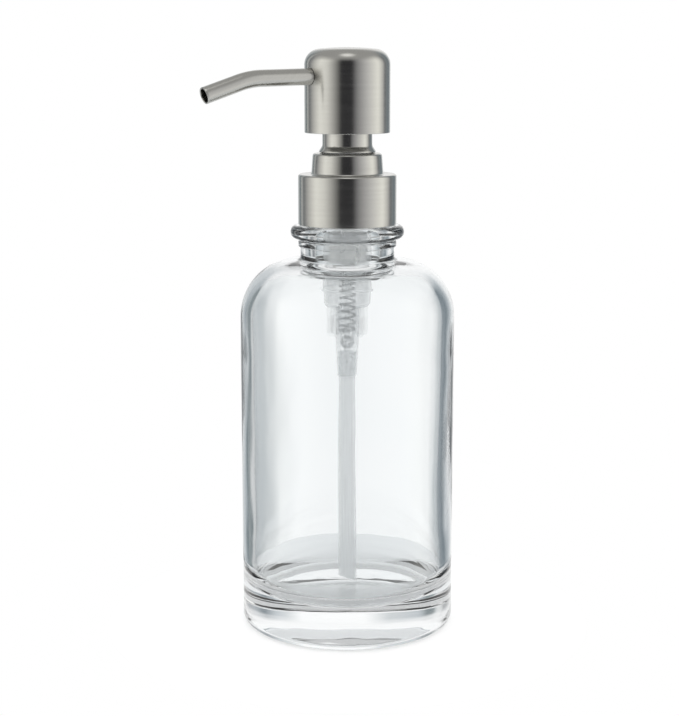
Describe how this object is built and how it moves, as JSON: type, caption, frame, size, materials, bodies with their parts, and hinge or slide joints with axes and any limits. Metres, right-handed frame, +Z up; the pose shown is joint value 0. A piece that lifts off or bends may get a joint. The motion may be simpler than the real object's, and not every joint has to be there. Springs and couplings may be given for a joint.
{
  "type": "soap pump dispenser",
  "caption": "Round clear glass bottle with a screw-on lotion pump: domed metal head, drooping spout, stepped collar, and the housing, spring, ball and dip tube inside.",
  "frame": {"origin": "centre of the bottle's foot, on the plane of its resting ring", "axes": "+Z up the bottle's axis, -X the way the spout points at rest"},
  "size_m": [0.0888, 0.072, 0.195],
  "materials": {
    "clear_glass": "clear, polished, slightly wavy inside",
    "brushed_steel": "satin, brushed round the axis",
    "natural_plastic": "translucent natural polypropylene",
    "tube_plastic": "milky translucent polyethylene",
    "seal_plastic": "soft white",
    "spring_steel": "drawn stainless wire",
    "ball_steel": "polished stainless ball"
  },
  "bodies": {
    "bottle": {"glass_bottle": "clear_glass"},
    "pump": {"pump_housing": "natural_plastic", "dip_tube": "tube_plastic", "bottle_gasket": "seal_plastic", "chaplet": "natural_plastic", "chaplet_sleeve": "brushed_steel", "return_spring": "spring_steel"},
    "closure": {"closure_cap": "natural_plastic", "collar_shell": "brushed_steel"},
    "plunger": {"pump_stem": "natural_plastic", "piston_rod": "natural_plastic"},
    "seal": {"piston_seal": "seal_plastic"},
    "head": {"head_core": "natural_plastic", "head_shell": "brushed_steel", "spout_tube": "brushed_steel"},
    "ball": {"inlet_ball": "ball_steel"}
  },
  "joints": [
    {"name": "pump_lift", "type": "slide", "parent": "bottle", "child": "pump", "axis": [0, 0, 1], "range_m": [0, 0.14]},
    {"name": "closure_turn", "type": "hinge", "parent": "pump", "child": "closure", "pos_m": [0, 0, 0.145], "axis": [0, 0, 1], "range_deg": [0, 11919.9]},
    {"name": "head_press", "type": "slide", "parent": "pump", "child": "plunger", "axis": [0, 0, -1], "range_m": [0, 0.0105], "stiffness_N_per_m": 900, "springref_m": -0.008, "deforming": ["return_spring"]},
    {"name": "piston_slip", "type": "slide", "parent": "plunger", "child": "seal", "axis": [0, 0, 1], "range_m": [0, 0.001]},
    {"name": "head_turn", "type": "hinge", "parent": "plunger", "child": "head", "pos_m": [0, 0, 0.183], "axis": [0, 0, 1], "continuous": true},
    {"name": "ball_lift", "type": "slide", "parent": "pump", "child": "ball", "axis": [0, 0, 1], "range_m": [0, 0.0008]}
  ],
  "couplings": [
    {"joint": "closure_turn", "follows": "pump_lift", "rad_per_m": 1485.4}
  ]
}
